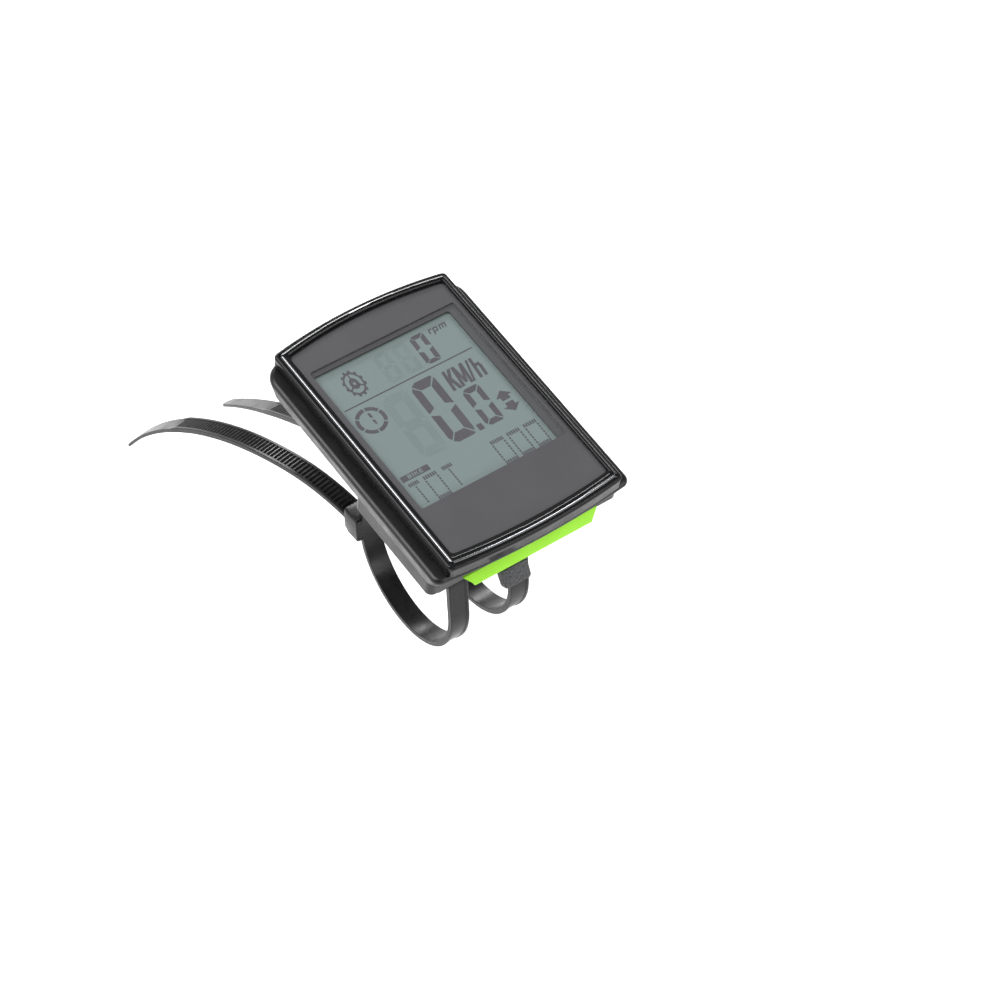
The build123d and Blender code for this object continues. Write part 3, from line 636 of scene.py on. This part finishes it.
segment_ink, shader, tree = new_material("display figures", (0.06, 0.057, 0.064), 0.35)
tinted(tree, shader, noise(tree, 5 * MM), (0.056, 0.053, 0.06), (0.064, 0.061, 0.068))
ghost_ink, shader, tree = new_material("unlit figures", (0.116, 0.15, 0.147), 0.35)
tinted(tree, shader, noise(tree, 6 * MM), (0.112, 0.146, 0.143), (0.12, 0.154, 0.151))

for name, maker, paint in (
    ("display_figures", segments_shape, segment_ink),
    ("unlit_figures", ghost_shape, ghost_ink),
    ("unit_letters", units_shape, segment_ink),
    ("label_letters", label_shape, lcd_green),
):
    marks = new_piece(name, maker)
    finish(marks, paint)
    in_model(marks, "head", "lcd")

# ------------------------------------------------------------------ key bar
# One lime green moulding along the rider's edge, pressed up into the case with a thumb. Satin surface, with
# the soft edges that moulding leaves and a little light passing through it.
lime, shader, tree = new_material("lime green plastic", (0.3, 0.69, 0.034), 0.38, gleam=0.25)
tinted(tree, shader, noise(tree, 4 * MM), (0.29, 0.67, 0.031), (0.31, 0.71, 0.037))
bump(tree, shader, noise(tree, 0.2 * MM), 0.002 * MM)
shader.inputs["Subsurface Weight"].default_value = 0.15
shader.inputs["Subsurface Radius"].default_value = (0.8 * MM, 1.0 * MM, 0.3 * MM)


def softened(name, width, body, slot, material):
    """A copy of a piece with its sharp edges rounded, as moulding leaves them."""
    def rounded(shape):
        shape.from_mesh(nodes[name].data)
        bmesh.ops.remove_doubles(shape, verts=shape.verts, dist=1e-6)
        bmesh.ops.dissolve_limit(shape, angle_limit=radians(1), verts=shape.verts, edges=shape.edges)
        sharp = [e for e in shape.edges if len(e.link_faces) == 2 and e.calc_face_angle() > radians(30)]
        bmesh.ops.bevel(
            shape, geom=sharp, offset=width, segments=2, profile=0.5, affect="EDGES", clamp_overlap=True
        )

    piece = new_piece(name + "_moulded", rounded)
    finish(piece, material)
    smooth(piece, 40)
    in_model(piece, body, slot, name)


softened("key_bar", 0.22 * MM, "key", "key_lime", lime)

# ------------------------------------------------------------------ cable ties
# Two black nylon ties hold the bracket. Each strap has raised rails along its sides with fine teeth between
# them, runs over the bracket's saddle, round the bar and through its own head, and ends in a smooth tip.
BAR_R, SLACK, STRAP_T, STRAP_HALF = 15.9, 0.05, 1.3, 2.4
LOOP_PITCH, LOOP_RAIL = 1.4, 0.22
# What the loop is drawn taut over, as radius, first and last turn about the bar: bar, pad, bracket's base.
HELD = ((BAR_R + SLACK, 0, 360), (17.45, 24, 140), (18.85, 37, 135.8))
HEAD_TILT = -9
TAIL_ROOT, TAIL_START = 20.5, (-3.0, -5.2)
TEETH_PITCH, TOOTH_HALF, TOOTH_HIGH, GROOVE = 1.15, 1.66, 0.37, 0.45
# Each tie's place along the bar, its tail's turn from straight ahead, its first heading, its runs as length
# and bend, and its smooth tip's length.
TIES = {
    "tie_left": (-7.8, 10.0, 12.0, ((24.0, -29.0), (34.0, -22.0), (38.0, -25.0)), 29.0),
    "tie_right": (7.8, 0.0, -8.0, ((24.0, -23.0), (34.0, -6.0), (38.0, -12.0)), 27.0),
}


def hull(points):
    """Convex hull, anticlockwise."""
    points = sorted(points)

    def half(run):
        kept = []
        for p in run:
            while len(kept) > 1:
                (ax, ay), (bx, by) = kept[-2], kept[-1]
                if (bx - ax) * (p[1] - ay) - (by - ay) * (p[0] - ax) > 0:
                    break
                kept.pop()
            kept.append(p)
        return kept[:-1]

    return half(points) + half(points[::-1])


def loop_line():
    """The strap's inner line round the bar and the bracket's saddle, as (y, z), evenly spaced."""
    points = []
    for radius, start, end in HELD:
        for i in range(73):
            t = radians(start + (end - start) * i / 72)
            points.append((radius * cos(t), radius * sin(t)))
    taut = hull(points)
    line = []
    for (ay, az), (by, bz) in zip(taut, taut[1:] + taut[:1]):
        parts = max(1, round(((by - ay) ** 2 + (bz - az) ** 2) ** 0.5 / LOOP_PITCH))
        line += [(ay + (by - ay) * i / parts, az + (bz - az) * i / parts) for i in range(parts)]
    return line


def section(half, thick, rail):
    """The strap's section as (side, height): a flat back, and two rails along its edges."""
    groove = thick - rail
    soft, rail_top, rail_foot = 0.12, 0.62, 0.78
    return [
        (-half, soft), (-half + soft, 0), (half - soft, 0), (half, soft),
        (half, thick - soft), (half - soft, thick), (half - rail_top, thick), (half - rail_foot, groove),
        (-half + rail_foot, groove), (-half + rail_top, thick), (-half + soft, thick), (-half, thick - soft),
    ]


def strap_rings(shape, stations):
    """Rings of the strap at stations of (place, side way, up way, half width, thickness, rail)."""
    rings = []
    for place, side, up_way, half, thick, rail in stations:
        outline = section(half, thick, rail)
        rings.append([shape.verts.new((place + side * x + up_way * y) * MM) for x, y in outline])
    return rings


def tie_loop(shape, x):
    """The closed run of the strap, its flat back to the bar."""
    line = loop_line()
    stations = []
    for i in range(len(line)):
        ahead, behind = line[(i + 1) % len(line)], line[i - 1]
        out = Vector((0, ahead[1] - behind[1], behind[0] - ahead[0])).normalized()
        place = Vector((x, line[i][0], line[i][1])) + out * 0.005
        stations.append((place, Vector((1, 0, 0)), out, STRAP_HALF, STRAP_T, LOOP_RAIL))
    rings = strap_rings(shape, stations)
    for low, high in zip(rings, rings[1:] + rings[:1]):
        join_rings(shape, low, high)


def tie_head(shape, x):
    """The locking head: a drafted block with soft edges, and a window that the strap leaves through."""
    away = Vector((0, cos(radians(HEAD_TILT)), sin(radians(HEAD_TILT))))
    along = Vector((0, -away.z, away.y))
    half_w, half_l = 3.8, 3.3
    inner, outer = BAR_R + SLACK + 0.02, BAR_R + SLACK + 5.6

    def ring(radius, w, l, corner, slide=0.0):
        made = []
        for cx, cy, start in CORNERS:
            for k in range(4):
                t = radians(start + 30 * k)
                px, py = cx * (w - corner) + corner * cos(t), cy * (l - corner) + corner * sin(t)
                place = Vector((x + px, 0, 0)) + away * radius + along * (py + slide)
                made.append(shape.verts.new(place * MM))
        return made

    levels = [
        ring(inner, half_w - 0.3, half_l - 0.3, 0.4),
        ring(inner + 0.3, half_w, half_l, 0.6),
        ring(inner + 3.6, half_w, half_l, 0.7),
        ring(outer - 0.35, half_w - 0.25, half_l - 0.25, 0.8),
        ring(outer, half_w - 0.65, half_l - 0.65, 0.6),
        ring(outer, 2.85, 1.5, 0.25, 0.35),
        ring(outer - 1.6, 2.7, 1.3, 0.25, 0.35),
    ]
    for low, high in zip(levels, levels[1:]):
        join_rings(shape, low, high)
    shape.faces.new(list(reversed(levels[0])))
    shape.faces.new(levels[-1])


def tail_track(heading, runs):
    """The loose end's line as (distance, place, turn), half a tooth apart, from inside the head."""
    at, turn, gone = Vector(TAIL_START), radians(heading), 0.0
    track = []
    for length, bend in runs:
        count = round(length / (TEETH_PITCH / 2))
        for _ in range(count):
            track.append((gone, at.copy(), turn))
            turn += radians(bend) / count / 2
            at += Vector((cos(turn), sin(turn))) * (length / count)
            turn += radians(bend) / count / 2
            gone += length / count
    track.append((sum(length for length, _ in runs), at.copy(), turn))
    return track


def tooth(shape, floor, side, along, up_way):
    """One tooth across the groove, steep towards the tip and sloping towards the head."""
    ends = []
    for reach in (-TOOTH_HALF, TOOTH_HALF):
        base = floor + side * reach
        profile = ((-0.45, 0), (0.35, 0), (0.25, TOOTH_HIGH), (0.02, TOOTH_HIGH))
        ends.append([shape.verts.new((base + along * a + up_way * u) * MM) for a, u in profile])
    join_rings(shape, *ends)
    shape.faces.new(list(reversed(ends[0])))
    shape.faces.new(ends[1])


def tie_tail(shape, x, skew, heading, runs, smooth_tip):
    """The loose end: teeth between its rails, then a thin smooth tip that narrows to a round point."""
    lean = radians(skew)
    ahead = Vector((-sin(lean), cos(lean), 0))
    side = Vector((cos(lean), sin(lean), 0))
    total = sum(length for length, _ in runs)
    round_end, fade_run = 1.6, 3.0
    toothed_to = total - smooth_tip - fade_run / 2
    stations = []
    teeth = []
    for count, (distance, spot, angle) in enumerate(tail_track(heading, runs)):
        along = ahead * cos(angle) + Vector((0, 0, 1)) * sin(angle)
        up_way = Vector((0, 0, 1)) * cos(angle) - ahead * sin(angle)
        place = Vector((x, TAIL_ROOT, 0)) + ahead * spot.x + Vector((0, 0, spot.y))
        left = total - distance
        fade = min(1.0, max(0.0, (smooth_tip + fade_run / 2 - left) / fade_run))
        taper = min(1.0, max(0.0, 1 - left / smooth_tip))
        half = STRAP_HALF - 0.75 * taper
        if left < round_end:
            half *= max(0.35, (1 - (1 - left / round_end) ** 2) ** 0.5)
        thick = STRAP_T - 0.3 * fade - 0.3 * taper
        rail = GROOVE * (1 - fade) + 0.01
        stations.append((place - up_way * STRAP_T / 2, side, up_way, half, thick, rail))
        if count >= 4 and count % 2 == 0 and distance <= toothed_to:
            teeth.append((place + up_way * (STRAP_T / 2 - GROOVE - 0.02), side, along, up_way))
    rings = strap_rings(shape, stations)
    for low, high in zip(rings, rings[1:]):
        join_rings(shape, low, high)
    shape.faces.new(list(reversed(rings[0])))
    shape.faces.new(rings[-1])
    for one in teeth:
        tooth(shape, *one)


nylon = black_plastic(
    "black nylon", (0.009, 0.009, 0.0095), (0.24, 0.36), 3 * MM, 1.2 * MM, 0.002 * MM
)
for name, (x, skew, heading, runs, smooth_tip) in TIES.items():

    def tie_shape(shape):
        tie_loop(shape, x)
        tie_head(shape, x)
        tie_tail(shape, x, skew, heading, runs, smooth_tip)

    strap = new_piece(name + "_strap", tie_shape)
    finish(strap, nylon)
    smooth(strap, 32)
    in_model(strap, "bracket_set", "nylon_black", name)

# ------------------------------------------------------------------ bracket, pad and lever
# The bracket is glass-filled black nylon with a fine moulded grain, and the pad under it is black rubber.
# The lever that frees the head is dark grey nylon with a coarse grain for the thumb.
bracket_black = black_plastic(
    "grained black nylon", (0.01, 0.01, 0.011), (0.38, 0.55), 3 * MM, 0.18 * MM, 0.012 * MM
)
rubber = black_plastic(
    "black rubber", (0.014, 0.014, 0.015), (0.55, 0.75), 4 * MM, 0.12 * MM, 0.01 * MM
)
lever_grey, shader, tree = new_material("coarse grey nylon", (0.035, 0.035, 0.039), 0.5)
roughen(tree, shader, noise(tree, 0.35 * MM), 0.35, 0.6)
bump(tree, shader, noise(tree, 0.5 * MM, 2.0), 0.4 * MM)
tinted(tree, shader, noise(tree, 0.4 * MM, 2.0), (0.022, 0.022, 0.025), (0.062, 0.062, 0.067), 0.35, 0.65)
softened("bracket", 0.3 * MM, "bracket_set", "bracket_black", bracket_black)
finish(nodes["rubber_pad"], rubber)
softened("release_lever", 0.22 * MM, "lever", "lever_grey", lever_grey)

# ------------------------------------------------------------------ battery door and small parts
# The coin door is satin black like the case. Inside are the board and its parts, which show only when the
# case is taken apart, in their usual finishes.
door_black = black_plastic(
    "door black", (0.01, 0.01, 0.011), (0.28, 0.42), 4 * MM, 0.2 * MM, 0.006 * MM
)
softened("battery_door", 0.15 * MM, "door", "door_black", door_black)


def plain_metal(name, colour, rough):
    """Drawn or plated metal with fine lines along it."""
    made, shader, tree = new_material(name, colour, rough, metal=1.0)
    roughen(tree, shader, noise(tree, 0.4 * MM, stretch=(1, 12, 1)), rough * 0.7, rough * 1.4)
    bump(tree, shader, noise(tree, 0.2 * MM, stretch=(1, 20, 1)), 0.002 * MM)
    return made


def plain_solid(name, colour, rough, size):
    """Plastic, board or ceramic with a fine grain."""
    made, shader, tree = new_material(name, colour, rough)
    tinted(tree, shader, noise(tree, size), [c * 0.85 for c in colour], [c * 1.15 for c in colour])
    bump(tree, shader, noise(tree, size / 4), 0.004 * MM)
    return made


steel = plain_metal("plated steel", (0.6, 0.6, 0.58), 0.25)
brass = plain_metal("spring brass", (0.72, 0.58, 0.32), 0.28)
silicone = plain_solid("black silicone", (0.02, 0.02, 0.021), 0.6, 1 * MM)
tray = plain_solid("white tray", (0.7, 0.7, 0.68), 0.5, 2 * MM)
board = plain_solid("green board", (0.015, 0.14, 0.05), 0.3, 1.5 * MM)
chip = plain_solid("moulded chip", (0.02, 0.02, 0.021), 0.55, 0.8 * MM)
ceramic = plain_solid("capacitor ceramic", (0.4, 0.3, 0.2), 0.4, 0.5 * MM)
for material, names in (
    (steel, ("case_screws", "crystal", "coin_cell", "tact_switches")),
    (brass, ("contact_negative", "contact_positive")),
    (silicone, ("case_gasket", "zebra_strip", "key_caps", "door_seal")),
    (tray, ("lcd_tray",)),
    (board, ("circuit_board",)),
    (chip, ("controller_chip", "radio_chip", "switch_plungers")),
    (ceramic, ("chip_capacitors",)),
):
    for name in names:
        finish(nodes[name], material)

# ------------------------------------------------------------------ floor, light and camera
# A plain white sweep under the object, lit by a broad soft sky, two softboxes and two narrow strips whose
# gleam runs along the bevels of the case. The camera looks down from the rider's left.
FLOOR_HALF, FLOOR_DROP = 25.0, 4 * MM
low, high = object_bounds()
floor_data = bpy.data.meshes.new("floor")
floor_data.from_pydata(
    [(x * FLOOR_HALF, y * FLOOR_HALF, 0) for x, y in ((-1, -1), (1, -1), (1, 1), (-1, 1))], [], [(0, 1, 2, 3)]
)
floor = bpy.data.objects.new("floor", floor_data)
bpy.context.scene.collection.objects.link(floor)
floor.location.z = low[2] - FLOOR_DROP
white, shader, tree = new_material("white paper", (0.9, 0.9, 0.9), 0.9, gleam=0.0)
tinted(tree, shader, noise(tree, 0.4), (0.89, 0.89, 0.89), (0.91, 0.91, 0.91))
finish(floor, white)

surround = bpy.data.worlds.new("surround")
bpy.context.scene.world = surround
surround.use_nodes = True
surround.node_tree.nodes["Background"].inputs["Color"].default_value = (1.0, 1.0, 1.0, 1.0)
surround.node_tree.nodes["Background"].inputs["Strength"].default_value = 0.32


def hang(name, light, place, aim):
    """Hangs a light at a place, turned to face a point."""
    holder = bpy.data.objects.new(name, light)
    bpy.context.scene.collection.objects.link(holder)
    holder.location = place
    holder.rotation_euler = (Vector(aim) - Vector(place)).to_track_quat("-Z", "Y").to_euler()


# Each lamp's place and what it faces, its width and height, in metres, and its watts.
for name, place, aim, size, watts in (
    ("left_softbox", (-0.6, 0.38, 0.52), (0, 0, 0), (0.45, 0.75), 3.7),
    ("near_top", (0.4, -0.31, 0.85), (0, 0, 0), (0.3, 0.09), 1.6),
    ("rider_softbox", (0.38, -0.72, 0.45), (0, 0, 0), (0.6, 0.3), 4.5),
    ("far_strip", (0.4, 0.86, 0.34), (0, 0, 0.03), (0.6, 0.14), 7.5),
):
    light = bpy.data.lights.new(name, "AREA")
    light.shape = "RECTANGLE"
    light.size, light.size_y = size
    light.energy = watts
    hang(name, light, place, aim)
sky = bpy.data.lights.new("soft_sky", "SUN")
sky.energy = 3.4
sky.angle = radians(50)
hang("soft_sky", sky, (-0.45, 0.3, 0.85), (0, 0, 0))

CAMERA_PLACE = Vector((-259.8, -298.0, 561.8)) * MM
right = Vector((0.8093, -0.5809, 0.0877)).normalized()
back = Vector((-0.3998, -0.4352, 0.8067)).normalized()
up = back.cross(right).normalized()
right = up.cross(back).normalized()
eye = bpy.data.cameras.new("camera")
eye.sensor_width = 36.0
eye.lens = 115.2
eye.clip_start = 0.01
camera = bpy.data.objects.new("camera", eye)
bpy.context.scene.collection.objects.link(camera)
camera.matrix_world = Matrix.Translation(CAMERA_PLACE) @ Matrix((right, up, back)).transposed().to_4x4()
bpy.context.scene.camera = camera
bpy.context.scene.view_settings.view_transform = "Standard"
